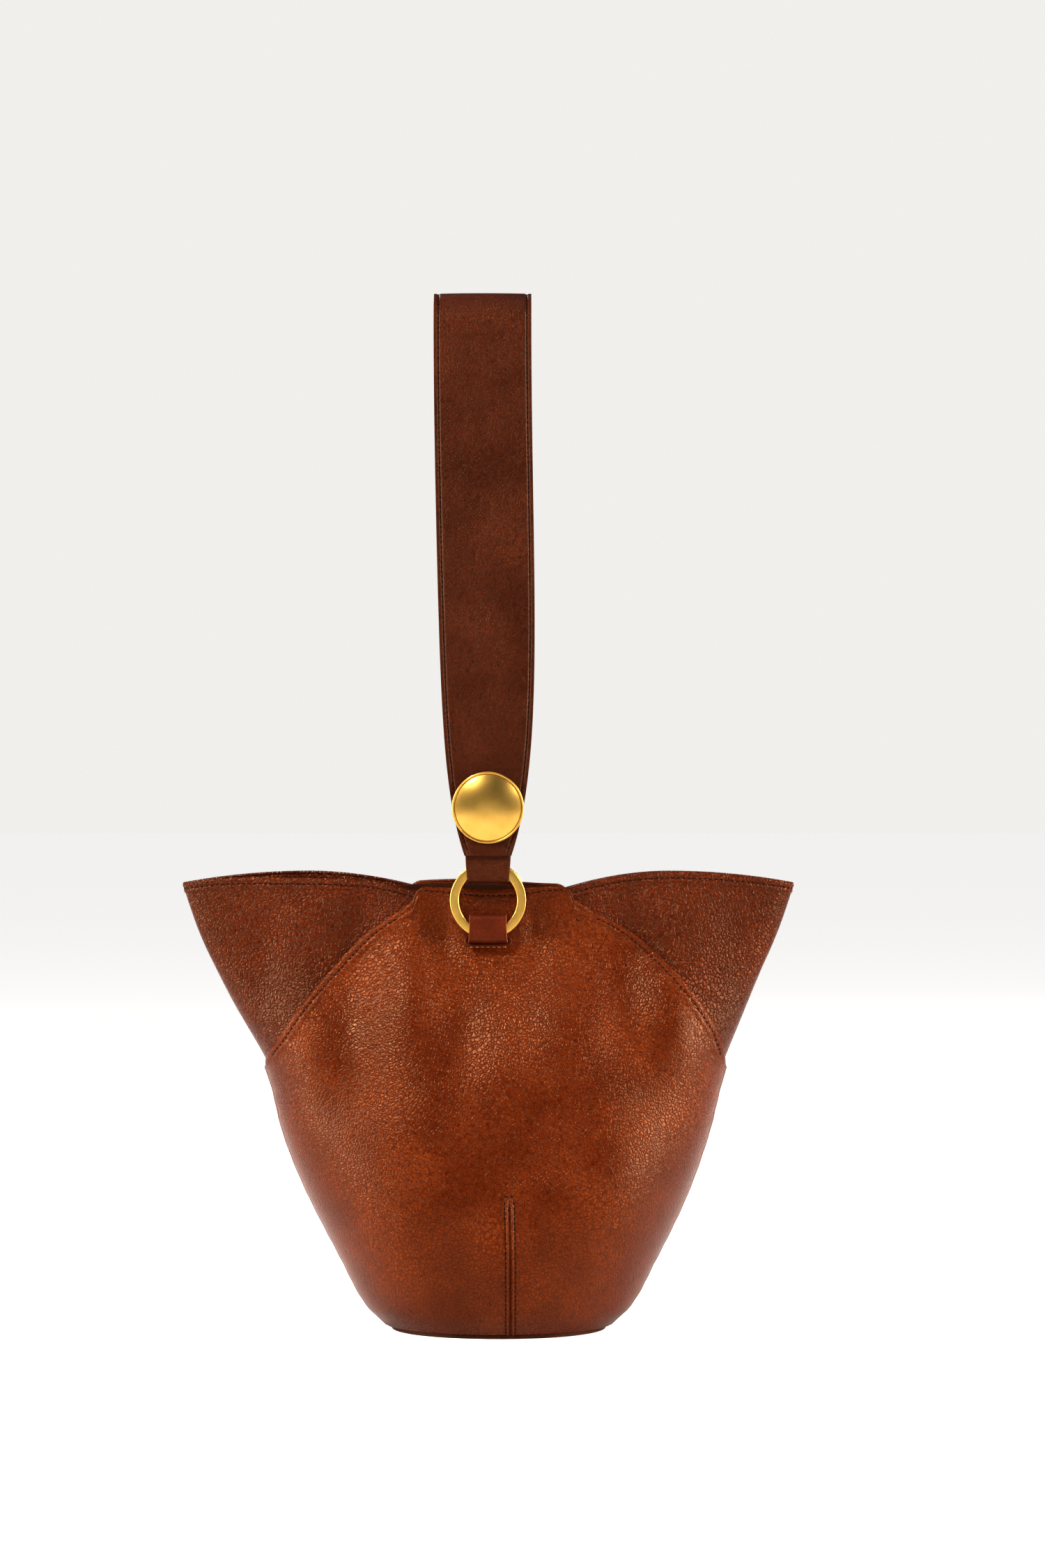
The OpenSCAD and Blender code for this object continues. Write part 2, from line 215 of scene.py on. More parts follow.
# Milled calf: rounded pebbles parted by creases, with a soft shine, tighter in some places than in others.
# The real pebbles are about 1 mm across. They are drawn at 1.2 to 1.7 mm, so that they show.
def pebbledCalf(name, colours, pebble, relief, roughness):
    material, tree, shader, where = newMaterial(name, IOR=1.41, Specular_Tint=waxShine)
    cells = 1 / (pebble * mm)
    drift = addNode(tree, "ShaderNodeTexNoise", {"Vector": where, "Scale": cells * 0.45, "Detail": 1.0})
    drift = addNode(tree, "ShaderNodeVectorMath", {0: drift.outputs["Color"], 1: (0.5, 0.5, 0.5)},
                    operation="SUBTRACT")
    drift = addNode(tree, "ShaderNodeVectorMath", {0: drift.outputs[0], "Scale": 1.4 * pebble * mm},
                    operation="SCALE")
    place = addNode(tree, "ShaderNodeVectorMath", {0: where, 1: drift.outputs[0]}).outputs[0]
    creases = addNode(tree, "ShaderNodeTexVoronoi", {"Vector": place, "Scale": cells},
                      feature="DISTANCE_TO_EDGE").outputs["Distance"]
    pebbles = blendOf(tree, creases, [(0.0, 0.0), (0.1, 0.55), (0.3, 0.95), (0.5, 1.0)])
    pores = addNode(tree, "ShaderNodeTexNoise",
                    {"Vector": where, "Scale": cells * 2.6, "Detail": 3.0, "Roughness": 0.6}).outputs[0]
    patches = addNode(tree, "ShaderNodeTexNoise",
                      {"Vector": where, "Scale": 1 / (30 * mm), "Detail": 3.0}).outputs[0]
    tight = blendOf(tree, patches, [(0.36, 0.55), (0.62, 1.0)])
    grain = addNode(tree, "ShaderNodeMath", {0: pebbles, 1: tight}, operation="MULTIPLY").outputs[0]
    tone = sumOf(tree, 0.0, (patches, 0.2), (grain, 0.55), (pores, 0.3))
    colour = blendOf(tree, tone, list(zip((0.25, 0.66, 0.9), colours)))
    rough = sumOf(tree, roughness - 0.13, (pores, 0.16), (patches, 0.1))
    finishShader(tree, shader, colour, rough, sumOf(tree, 0.0, (grain, 1.0), (pores, 0.4)), relief)
    return material


# Smooth full-grain calf: pores, faint drawn-out fibres and a cloudy dye.
# Real pores are about 0.2 mm apart. They are drawn at 0.8 mm, so that they show.
def smoothCalf(name, colours, roughness, relief=0.05, stretch=(1.0, 1.0, 0.35)):
    material, tree, shader, where = newMaterial(name, IOR=1.41, Specular_Tint=waxShine)
    drawn = addNode(tree, "ShaderNodeMapping", {"Vector": where, "Scale": stretch}).outputs[0]
    creases = addNode(tree, "ShaderNodeTexVoronoi", {"Vector": drawn, "Scale": 1 / (0.8 * mm)},
                      feature="DISTANCE_TO_EDGE").outputs["Distance"]
    pores = blendOf(tree, creases, [(0.0, 0.0), (0.1, 0.75), (0.5, 1.0)])
    clouds = addNode(tree, "ShaderNodeTexNoise",
                     {"Vector": where, "Scale": 1 / (14 * mm), "Detail": 4.0, "Roughness": 0.6}).outputs[0]
    fibres = addNode(tree, "ShaderNodeTexNoise",
                     {"Vector": drawn, "Scale": 1 / (0.45 * mm), "Detail": 2.0}).outputs[0]
    tone = sumOf(tree, 0.0, (clouds, 0.75), (pores, 0.25))
    colour = blendOf(tree, tone, list(zip((0.35, 0.58, 0.8), colours)))
    rough = sumOf(tree, roughness - 0.08, (fibres, 0.16))
    finishShader(tree, shader, colour, rough, sumOf(tree, 0.0, (pores, 1.0), (fibres, 0.6)), relief)
    return material


# Waxed polyester thread, twisted from fine plies, with a dull sheen
def waxedThread(name, dark, light):
    material, tree, shader, where = newMaterial(name, IOR=1.5, Specular_IOR_Level=0.15)
    plies = addNode(tree, "ShaderNodeTexNoise", {"Vector": where, "Scale": 1 / (0.35 * mm)}).outputs[0]
    colour = blendOf(tree, plies, [(0.35, dark), (0.65, light)])
    finishShader(tree, shader, colour, sumOf(tree, 0.55, (plies, 0.2)), plies, 0.05)
    return material


# Cast brass, lapped to a satin and lacquered: warm soft highlights, a little darker in places.
# The lapping lines are drawn 0.4 mm apart where the real ones are much finer.
def satinBrass(name, colours, roughness):
    material, tree, shader, where = newMaterial(name, Metallic=1.0)
    drawn = addNode(tree, "ShaderNodeMapping", {"Vector": where, "Scale": (0.25, 1.0, 2.0)}).outputs[0]
    lines = addNode(tree, "ShaderNodeTexNoise", {"Vector": drawn, "Scale": 1 / (0.4 * mm)}).outputs[0]
    clouds = addNode(tree, "ShaderNodeTexNoise", {"Vector": where, "Scale": 1 / (7 * mm)}).outputs[0]
    rough = sumOf(tree, roughness - 0.04, (lines, 0.08))
    colour = blendOf(tree, clouds, list(zip((0.3, 0.5, 0.7), colours)))
    finishShader(tree, shader, colour, rough, lines, 0.002)
    return material


# Cotton twill: diagonal ribs, drawn 0.9 mm apart where the real ones are about half that
def cottonTwill(name, dark, light):
    material, tree, shader, where = newMaterial(name, Sheen_Weight=0.25)
    ribs = addNode(tree, "ShaderNodeTexWave",
                   {"Vector": where, "Scale": 0.157 / (0.9 * mm), "Distortion": 1.0},
                   bands_direction="DIAGONAL").outputs["Fac"]
    slubs = addNode(tree, "ShaderNodeTexNoise",
                    {"Vector": where, "Scale": 1 / (3 * mm), "Detail": 4.0}).outputs[0]
    colour = blendOf(tree, sumOf(tree, 0.0, (ribs, 0.5), (slubs, 0.5)), [(0.2, dark), (0.8, light)])
    finishShader(tree, shader, colour, sumOf(tree, 0.82, (ribs, 0.1)), ribs, 0.15)
    return material


# Pressed fibre board: grey-brown, flecked and matt
def fibreBoard(name, dark, light):
    material, tree, shader, where = newMaterial(name)
    flecks = addNode(tree, "ShaderNodeTexNoise",
                     {"Vector": where, "Scale": 1 / (1.5 * mm), "Detail": 5.0, "Roughness": 0.7}).outputs[0]
    colour = blendOf(tree, flecks, [(0.35, dark), (0.7, light)])
    finishShader(tree, shader, colour, sumOf(tree, 0.8, (flecks, 0.1)), flecks, 0.1)
    return material


panelCalf = pebbledCalf("cognacMilledCalf", ("#481502", "#6A2904", "#823809"), 1.6, 0.15, 0.29)
# The wings are the same cognac leather as the panels, with a deeper grain. Their colours are set darker than
# the panels': painted shade, for wings that face down and away from the lights.
wingCalf = pebbledCalf("cognacDeepGrainCalf", ("#3C1001", "#5B1E02", "#702A05"), 1.7, 0.30, 0.29)
strapCalf = pebbledCalf("chestnutFineGrainCalf", ("#2C0901", "#491501", "#5A1F02"), 1.2, 0.14, 0.40)
baseCalf = pebbledCalf("brownBaseCalf", ("#3A1605", "#54230C", "#6B3216"), 1.3, 0.12, 0.5)
tabCalf = smoothCalf("cognacSmoothCalf", ("#431103", "#551A05", "#672709"), 0.42)
facingCalf = smoothCalf("brownSmoothCalf", ("#260C04", "#3C1607", "#54240F"), 0.5)
edgePaint = smoothCalf("paintedLeatherEdge", ("#2E0E05", "#471A0A", "#6B3420"), 0.4, relief=0.02)
cutEdge = smoothCalf("rawLeatherEdge", ("#8A4A2C", "#A9623F", "#C07F5C"), 0.6, relief=0.08)
darkThread = waxedThread("darkBrownWaxedThread", "#160401", "#2C0C04")
tanThread = waxedThread("tanWaxedThread", "#8A4520", "#C07A48")
brass = satinBrass("satinBrass", ("#D2AA58", "#D8B05E", "#DEB664"), 0.31)
twill = cottonTwill("brownCottonTwill", "#33231A", "#5B4434")
board = fibreBoard("pressedFibreBoard", "#4B4239", "#7C7061")
print("materials made")


# The body of the bag

panelBox, wingBox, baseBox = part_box("front_panel"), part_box("right_wing"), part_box("base_panel")
form = {
    "leather": 1.8 * mm, "layerGap": 0.35 * mm, "cloth": 0.9 * mm,
    "mouth": 14.5 * mm,  # half depth at the rim
    "tipOver": 1.9 * mm,  # how far the mouth's widest row reaches past the wings
    "seamLow": 121 * mm, "seamTop": 37.5 * mm,  # height where the wings begin, and half the rim between them
    "crestX": 84.3 * mm, "crestRise": 7.5 * mm, "tipDrop": 5 * mm,
    "wingFoot": 106 * mm, "tuck": 16 * mm,
    "lean": 4.8 * mm, "leftDrawn": 3.2 * mm,
    "rimDip": 1.8 * mm, "rimDipWidth": 20 * mm,
    "backRise": 2.6 * mm, "backRiseX": -14 * mm, "backRiseWidth": 34 * mm,
    "wingDrop": 2.8 * mm, "wingDropX": -84 * mm, "wingDropWidth": 34 * mm,
    "cornerRound": 6 * mm,
    "ringWidth": 17 * mm, "ringLow": 168 * mm,  # behind the ring the leather stays nearly flat
    "seamShift": (8 * mm, 4.5 * mm),  # how far the left and right front seams stand to the right
}
wingInset = form["leather"] + form["layerGap"]
liningInset = 2 * wingInset
high, deep, mouth = panelBox[1].z, -2 * panelBox[0].y, form["mouth"]
wide = wingBox[1].x + form["tipOver"]
crestZ = wingBox[1].z
stations = np.array([  # height, half width, half depth, squareness
    [0.0, baseBox[1].x, baseBox[1].y, 2.1],
    [0.055 * high, wide * 0.430, deep * 0.425, 2.1],
    [0.15 * high, wide * 0.505, deep * 0.478, 2.1],
    [0.30 * high, wide * 0.613, deep * 0.500, 2.15],
    [0.44 * high, wide * 0.692, deep * 0.468, 2.2],
    [0.57 * high, wide * 0.749, deep * 0.385, 2.3],
    [0.70 * high, wide * 0.830, deep * 0.275, 2.8],
    [0.80 * high, wide * 0.893, deep * 0.183, 3.3],
    [0.87 * high, wide * 0.939, mouth * 1.13, 3.8],
    [0.93 * high, wide * 0.972, mouth * 1.06, 4.3],
    [high, wide, mouth, 4.8],
    [1.06 * high, wide * 1.007, mouth - 0.6 * mm, 5.0],
])
puffs = [  # across, height, spread across, spread up, push outwards in mm, and side (-1 is the front)
    (-36, 162, 15, 24, 5.4, -1), (-14, 134, 13, 21, -3.2, -1), (-64, 150, 11, 26, -1.6, -1),
    (34, 146, 17, 24, 3.2, -1), (86, 140, 13, 24, 4.2, -1), (60, 152, 10, 24, -2.2, -1),
    (-86, 128, 13, 24, 3.6, -1), (8, 84, 34, 27, -7.0, -1), (-50, 52, 20, 36, 3.8, -1),
    (56, 66, 20, 34, 3.8, -1), (-20, 30, 14, 26, -1.2, -1), (-84, 184, 14, 18, 3.0, -1),
    (-58, 194, 8, 13, -2.0, -1), (90, 180, 17, 20, 3.2, -1), (114, 192, 9, 13, -1.4, -1),
    (60, 194, 8, 12, -1.6, -1), (-21, 183, 6.5, 17, -3.6, -1), (21.5, 184, 5.5, 15, -2.8, -1),
    (-104, 170, 8, 18, -1.6, -1),
    (30, 150, 20, 26, 3.4, 1), (-34, 122, 26, 22, 2.8, 1), (8, 92, 20, 22, -2.4, 1),
    (84, 182, 15, 20, 3.0, 1), (-80, 176, 14, 22, 2.8, 1), (-40, 60, 24, 28, 2.6, 1),
    (22, 187, 4.4, 15, -1.9, 1), (-23, 188, 4.2, 14, -1.9, 1), (58, 100, 12, 30, -2.0, 1),
]


def stationAt(z, column):  # a smooth curve through one column of the stations
    heights, values = stations[:, 0], stations[:, column]
    padded = np.pad(stations, ((1, 1), (0, 0)), "edge")
    rise = padded[2:] - padded[:-2]
    slopes = rise[:, column] / rise[:, 0]
    i = np.clip(np.searchsorted(heights, z, side="right") - 1, 0, len(heights) - 2)
    run = heights[i + 1] - heights[i]
    t = (z - heights[i]) / run
    return (values[i] * (1 - 3 * t ** 2 + 2 * t ** 3) + values[i + 1] * (3 * t ** 2 - 2 * t ** 3)
            + slopes[i] * run * (t - 2 * t ** 2 + t ** 3) + slopes[i + 1] * run * (t ** 3 - t ** 2))


def bodySurface(z, turn, inset=0.0):  # turn in degrees from the front, by way of the right tip
    z, turn = np.broadcast_arrays(np.asarray(z, float), np.asarray(turn, float))
    s, c = np.sin(np.radians(turn)), np.cos(np.radians(turn))
    roundness = np.sqrt(np.maximum(0, 1 - np.abs(s) ** stationAt(z, 3)))
    x = (stationAt(z, 1) - inset) * s
    y = -np.sign(c) * (stationAt(z, 2) - inset) * roundness
    return np.stack([x, y, z], axis=-1)


def settle(points):  # the leather leans, puffs out and falls in, and its rim dips in front and rises behind
    x, y, z = points[..., 0], points[..., 1], points[..., 2]
    pushed = np.zeros_like(x)
    for across, height, spreadAcross, spreadUp, push, face in puffs:
        near = hump((x / mm - across) / spreadAcross) * hump((z / mm - height) / spreadUp)
        pushed += np.where(np.sign(y) == face, push * mm, 0) * near
    ringRoom = 1 - 0.9 * hump(x / form["ringWidth"]) * smooth((z - form["ringLow"]) / (12 * mm))
    pushed *= smooth(np.abs(y) / (7 * mm)) * ringRoom * smooth(z / (25 * mm))
    nearRim = smooth((z - 176 * mm) / (28 * mm))
    front, back = smooth(-y / (7 * mm)), smooth(y / (7 * mm))
    nearBackRise = hump((x - form["backRiseX"]) / form["backRiseWidth"])
    nearWingDrop = hump((x - form["wingDropX"]) / form["wingDropWidth"])
    dip = form["rimDip"] * hump(x / form["rimDipWidth"]) * front * nearRim
    dip -= form["backRise"] * nearBackRise * back * nearRim
    dip += form["wingDrop"] * nearWingDrop * front * nearRim
    lean = form["lean"] * smooth(((1 - z / high) - 0.1) / 0.75)
    # the left side is drawn in where its wing begins
    lean += form["leftDrawn"] * hump((z - form["seamLow"]) / (26 * mm)) * smooth(-x / (75 * mm))
    return np.stack([x + lean, y + np.sign(y) * pushed, z - dip], axis=-1)


def seamX(z):
    t = np.clip((z - form["seamLow"]) / (high - form["seamLow"]), 0, 1)
    widest = stationAt(form["seamLow"], 1)
    return form["seamTop"] + (widest - form["seamTop"]) * (1 - t ** 1.5)


def turnAt(x, z):
    return math.degrees(math.asin(min(1, x / float(stationAt(z, 1)))))


def rimZ(x):  # the rim of a wing is highest half way along
    outward = (np.abs(x) - form["crestX"]) / (wingBox[1].x - form["crestX"])
    inward = (form["crestX"] - np.abs(x)) / (form["crestX"] - form["seamTop"])
    fall = np.where(outward > 0, form["tipDrop"] * outward ** 2, form["crestRise"] * inward ** 2)
    return crestZ - fall


def layRows(heights, ends, columns, pointOf):
    # ends(z) gives the turns where a row starts and stops. columns(half) gives places along its length,
    # from its middle. The places and half lengths come back beside the points.
    rows, places, halves = [], [], []
    for z in heights:
        turns = np.linspace(*ends(z), 701)
        run = lengthAlong(pointOf(z, turns))
        spots = columns(run[-1] / 2)
        rows.append(pointOf(z, np.interp(spots + run[-1] / 2, run, turns)))
        places.append(spots)
        halves.append(np.full(len(spots), run[-1] / 2))
    return np.array(rows), np.array(places), np.array(halves)


def belowTop(points):  # each point's distance from the top row, measured down its column
    run = np.linalg.norm(np.diff(points, axis=0), axis=2)[::-1].cumsum(axis=0)[::-1]
    return np.concatenate([run, np.zeros((1, points.shape[1]))])


def hemShape(d, rise, stitchIn, width):  # height of a folded and stitched edge, by distance from it
    d = d / mm
    fold = rise * (1 - smooth((d - width + 1.2) / 1.6))
    return (fold - 0.75 * rise * hump((d - stitchIn) / 0.55) - 0.4 * hump(d / 0.7)) * mm


# Stitches

stitchForm = {"width": 0.6, "height": 0.5, "sides": 8, "rings": 5}


def oneStitch(length):  # a stitch along X, bowed so that its ends go into the leather
    clearSelection()
    bpy.ops.mesh.primitive_uv_sphere_add(segments=stitchForm["sides"], ring_count=stitchForm["rings"],
                                         radius=0.5)
    ball = bpy.context.object
    co = np.array([v.co[:] for v in ball.data.vertices])[:, [2, 0, 1]]
    faces = [list(polygon.vertices) for polygon in ball.data.polygons]
    bpy.data.objects.remove(ball)
    co[:, 0] = np.sign(co[:, 0]) * np.abs(2 * co[:, 0]) ** 0.7 / 2
    co = co * np.array([length, stitchForm["width"], stitchForm["height"]]) * mm
    co[:, 2] += (0.14 - 0.3 * (2 * co[:, 0] / (length * mm)) ** 2) * mm
    return co, faces


def evenPlaces(path, ups, pitch):  # middles of the stitches, with their directions and the outward normals
    run = lengthAlong(path)
    count = max(2, int(run[-1] / (pitch * mm)))
    spots = (np.arange(count) + 0.5) * run[-1] / count

    def at(values, places):
        return np.stack([np.interp(places, run, values[:, i]) for i in range(3)], axis=1)
    forward = unit(at(path, spots + 0.5 * mm) - at(path, spots - 0.5 * mm))
    up = at(ups, spots)
    up -= forward * np.sum(up * forward, axis=1, keepdims=True)
    return at(path, spots), forward, unit(up)


def sewStitches(name, paths, body, slot, thread, length=1.9, pitch=2.5):  # paths are (points, normals)
    co, faces = oneStitch(length)
    vertices, polygons = [], []
    for path, ups in paths:
        for centre, forward, up in zip(*evenPlaces(np.array(path), np.array(ups), pitch)):
            first = len(vertices) * len(co)
            vertices.append(centre + co @ np.stack([forward, np.cross(up, forward), up]))
            polygons += [[first + corner for corner in face] for face in faces]
    mesh = bpy.data.meshes.new(name)
    mesh.from_pydata(np.concatenate(vertices).tolist(), [], polygons)
    row = bpy.data.objects.new(name, mesh)
    bpy.context.scene.collection.objects.link(row)
    inEditMode(row, (bpy.ops.mesh.normals_make_consistent, {"inside": False}))
    bpy.ops.object.shade_smooth()
    return finishPiece(row, body, slot, thread)


def lineAt(points, normals, distance, target):  # where the distance passes target, once for each row
    path, ups = [], []
    for p, n, d in zip(points, normals, distance):
        order = np.argsort(d)
        path.append([np.interp(target, d[order], p[order, i]) for i in range(3)])
        ups.append([np.interp(target, d[order], n[order, i]) for i in range(3)])
    return np.array(path), np.array(ups)


def lineBelowRim(points, normals, below, rows, target):  # the same, down the columns of the top rows
    upper = slice(-rows - 1, None)
    return lineAt(*[grid[upper].swapaxes(0, 1) for grid in (points, normals, below)], target)


# Front and back panels, their edges folded over the wings, with the dart that takes in the bottom

panelMake = {
    "hemRise": 0.4, "hemWidth": 5.6, "stitchIn": 2.8, "hemZone": 11 * mm, "hemSteps": 20, "topSteps": 18,
    "dartPlace": 5.6 * mm, "dartHigh": 65 * mm, "dartZone": 5 * mm, "dartStitchOut": 2.1,
    "beforeDart": 52, "dartSteps": 20, "afterDart": 48,
    "pucker": 0.22, "puckerPitch": 9 * mm, "edgeRound": 0.55 * mm,
}


def panelColumns(half):
    zone, dart, near = panelMake["hemZone"], panelMake["dartPlace"], panelMake["dartZone"]
    hem = panelMake["hemSteps"]
    counts = [hem, panelMake["beforeDart"], panelMake["dartSteps"], panelMake["afterDart"], hem]
    return steps([-half, -half + zone, dart - near, dart + near, half - zone, half], counts)


def panelEnds(side):
    def ends(z):
        if z <= form["seamLow"]:
            return -89.75, 89.75
        shift = smooth((z - form["seamLow"]) / (16 * mm)) * hump((z - 166 * mm) / (40 * mm)) * (side > 0)
        left = turnAt(seamX(z) - form["seamShift"][0] * shift, z)
        right = turnAt(seamX(z) + form["seamShift"][1] * shift, z)
        return -min(89.75, left), min(89.75, right)
    return ends


def makePanel(name, side, node):
    heights = steps([panelBox[0].z, 9 * mm, high - 9 * mm, high], [8, 92, panelMake["topSteps"]])
    points, places, halves = layRows(heights, panelEnds(side), panelColumns, bodySurface)
    x, z = points[..., 0], points[..., 2].copy()
    corner = form["cornerRound"]
    left, right = x[-1, 0], x[-1, -1]
    over = np.clip(np.maximum(left + corner - x, x - right + corner) / corner, 0, 1)
    points[..., 2] -= corner * (1 - np.sqrt(1 - over ** 2)) * smooth((z - high + 26 * mm) / (26 * mm))
    slant = np.gradient(halves[:, 0], heights)
    edge = (halves - np.abs(places)) / np.sqrt(1 + slant ** 2)[:, None]
    top = belowTop(points)
    folded = smooth((z - form["seamLow"]) / (8 * mm))
    height = hemShape(np.minimum(edge, top), panelMake["hemRise"], panelMake["stitchIn"],
                      panelMake["hemWidth"])
    plainSeam = (0.5 * hump((edge / mm - 2.2) / 1.2) - 0.6 * hump(edge / (0.9 * mm))) * mm
    height = height * folded + plainSeam * (1 - folded)
    wave = np.sin(2 * math.pi * z / panelMake["puckerPitch"] + 3 * np.sin(z / (23 * mm)))
    height += panelMake["pucker"] * mm * wave * hump((edge / mm - 5.5) / 3.5)
    fromDart = (places - panelMake["dartPlace"]) / mm
    dart = -0.75 * hump(fromDart / 0.55) + 0.4 * hump((np.abs(fromDart) - 1.2) / 0.8)
    dart -= 0.5 * hump((np.abs(fromDart) - panelMake["dartStitchOut"]) / 0.4)
    height += dart * smooth((panelMake["dartHigh"] - z) / (4 * mm)) * mm
    points = raised(settle(facing(points, side)), height)

    panel = thicken(sheetOn(name, points), form["leather"], panelMake["edgeRound"])
    finishPiece(panel, "bag", "panel_leather", panelCalf, node)
    normals = normalsOf(points)
    hem, stitchIn = panelMake["hemSteps"], panelMake["stitchIn"] * mm
    seamRows = (heights > form["seamLow"] + 4 * mm) & (heights < high - 9 * mm)
    paths = []
    for columns in (slice(0, hem + 1), slice(-hem - 1, None)):
        path, ups = lineAt(points[:, columns], normals[:, columns], edge[:, columns], stitchIn)
        paths.append((path[seamRows], ups[seamRows]))
    path, ups = lineBelowRim(points, normals, top, panelMake["topSteps"], stitchIn)
    inner = edge[-1] > 4 * mm
    paths.append((path[inner], ups[inner]))
    sewStitches(name + "SeamStitches", paths, "bag", "panel_leather", darkThread)

    before = hem + panelMake["beforeDart"]
    dartColumns = slice(before - 2, before + panelMake["dartSteps"] + 2)
    dartRows = heights < panelMake["dartHigh"] - 1 * mm
    paths = []
    for target in (-panelMake["dartStitchOut"], panelMake["dartStitchOut"]):
        path, ups = lineAt(points[:, dartColumns], normals[:, dartColumns], fromDart[:, dartColumns], target)
        paths.append((path[dartRows], ups[dartRows]))
    row = int(np.argmin(np.abs(heights - panelMake["dartHigh"])))
    bar = np.abs(fromDart[row]) < 2.6
    paths.append((points[row, bar], normals[row, bar]))
    sewStitches(name + "DartStitches", paths, "bag", "panel_leather", darkThread, length=1.8, pitch=2.2)


makePanel("frontPanel", 1, "front_panel")
makePanel("backPanel", -1, "back_panel")
print("panels sewn")


# Wings: folded gussets that flare to pointed tips, hemmed along the rim

wingMake = {
    "hemRise": 0.5, "hemWidth": 5.4, "stitchIn": 2.9, "rimZone": 9 * mm, "rimSteps": 18,
    "tipZone": 9 * mm, "tipPoke": 0.4 * mm, "edgeRound": 0.6 * mm,
}


def wingEnds(z):
    halfWidth = float(stationAt(z, 1))
    x = max(form["seamTop"] - form["tuck"], min(seamX(z), halfWidth - 1 * mm) - form["tuck"])
    return turnAt(x, z), 180 - turnAt(x, z)


def wingColumns(half):  # closer together round the tip
    return steps([-half, -wingMake["tipZone"], wingMake["tipZone"], half], [52, 24, 52])


def wingSurface(z, turn):
    foot = form["wingFoot"]
    rise = (rimZ(bodySurface(z, turn, wingInset)[..., 0]) - foot) / (crestZ - foot)
    return bodySurface(foot + (z - foot) * rise, turn, wingInset)


def makeWing(name, side, node):
    heights = steps([form["wingFoot"], crestZ - wingMake["rimZone"], crestZ], [50, wingMake["rimSteps"]])
    points, places, _ = layRows(heights, wingEnds, wingColumns, wingSurface)
    rim = belowTop(points)
    height = hemShape(rim, wingMake["hemRise"], wingMake["stitchIn"], wingMake["hemWidth"])
    height += wingMake["tipPoke"] * hump(places / (6 * mm)) * hump((rim - 1 * mm) / (10 * mm))
    points = raised(settle(facing(points, side)), height)
    wing = thicken(sheetOn(name, points), form["leather"], wingMake["edgeRound"])
    finishPiece(wing, "bag", "wing_leather", wingCalf, node)
    path, ups = lineBelowRim(points, normalsOf(points), rim, wingMake["rimSteps"], wingMake["stitchIn"] * mm)
    inside = path - ups * form["leather"]
    sewStitches(name + "RimStitches", [(path, ups), (inside, -ups)], "bag", "wing_leather", darkThread)


makeWing("rightWing", 1, "right_wing")
makeWing("leftWing", -1, "left_wing")
print("wings sewn")


# Inside of the bag: a leather facing, the cloth lining, the stiffened base and its leather underside

insideMake = {
    "facingRows": 28, "facingSlack": 0.05,  # slack lets the layer wrinkle inwards
    "liningRows": 90, "liningSlack": 0.35, "baseSlack": 0.15,
    "boardInset": 2.4 * mm,
}


def makeBand(name, box, thickness, slot, material, node, rows, slack):
    heights = np.linspace(box[0].z, box[1].z, rows)
    turns = np.linspace(0, 360, 241)
    turns = turns + 15 * np.sin(np.radians(2 * turns))
    points = settle(bodySurface(heights[:, None], turns[None, :], liningInset))
    t = np.radians(turns)[None, :]
    z = heights[:, None] / mm
    wrinkles = np.sin(7 * t + z / 19) * np.sin(11 * t - z / 13) + 0.6 * np.sin(17 * t + z / 31)
    points = raised(points, -slack * (1.4 + wrinkles) * mm)
    band = thicken(sheetOn(name, points, joinEnds=True), thickness, 0.2 * mm)
    return finishPiece(band, "bag", slot, material, node)


def makeDisc(name, z, inset, thickness, slot, material, node, up, slack=0.0):
    turns = np.linspace(0, 360, 145)
    reach = steps([0, 0.92, 1], [16, 6])
    reach = reach[::-1] if up else reach
    outline = bodySurface(z, turns, inset)
    points = outline[None, :, :] * np.stack([reach, reach, np.ones(len(reach))], axis=1)[:, None, :]
    ripple = np.sin(points[..., 0] / (17 * mm)) * np.cos(points[..., 1] / (13 * mm))
    points = settle(points)
    points[..., 2] = z + slack * mm * ripple * (1 - reach ** 4)[:, None]
    disc = thicken(sheetOn(name, points, joinEnds=True), thickness, 0.5 * mm)
    return finishPiece(disc, "bag", slot, material, node)


facingBox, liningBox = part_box("rim_facing"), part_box("body_lining")
boardBox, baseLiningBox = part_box("base_board"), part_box("base_lining")
makeBand("rimFacing", facingBox, form["cloth"], "facing_leather", facingCalf, "rim_facing",
         insideMake["facingRows"], insideMake["facingSlack"])
makeBand("bodyLining", liningBox, form["cloth"], "lining_cloth", twill, "body_lining",
         insideMake["liningRows"], insideMake["liningSlack"])
makeDisc("baseLining", baseLiningBox[1].z, liningInset, form["cloth"], "lining_cloth", twill,
         "base_lining", True, slack=insideMake["baseSlack"])
makeDisc("baseBoard", boardBox[1].z, insideMake["boardInset"], boardBox[1].z - boardBox[0].z, "stiffener",
         board, "base_board", True)
makeDisc("baseLeather", baseBox[0].z, 0.0, baseBox[1].z, "base_leather", baseCalf, "base_panel", False)
print("inside and base made")


# Straps, tongues and tabs are strips: a path in (distance from the middle, height), given a width

def roundTurn(centre, radius, start, stop, count=9):  # part of a circle, in degrees
    return [(centre[0] + radius * math.cos(math.radians(a)), centre[1] + radius * math.sin(math.radians(a)))
            for a in np.linspace(start, stop, count)]


def evenly(path, pitch):  # the path again, with points a pitch apart
    path = np.array(path)
    run = lengthAlong(path)
    spots = np.linspace(0, run[-1], int(run[-1] / pitch) + 1)
    return np.stack([np.interp(spots, run, path[:, i]) for i in range(2)], axis=1), spots / run[-1]


def spread(x, line):  # a path of (y, z) made wider, with x for each of its rows
    y, z = np.broadcast_to(line[:, :1], x.shape), np.broadcast_to(line[:, 1:], x.shape)
    return np.stack([x, y, z], axis=-1)


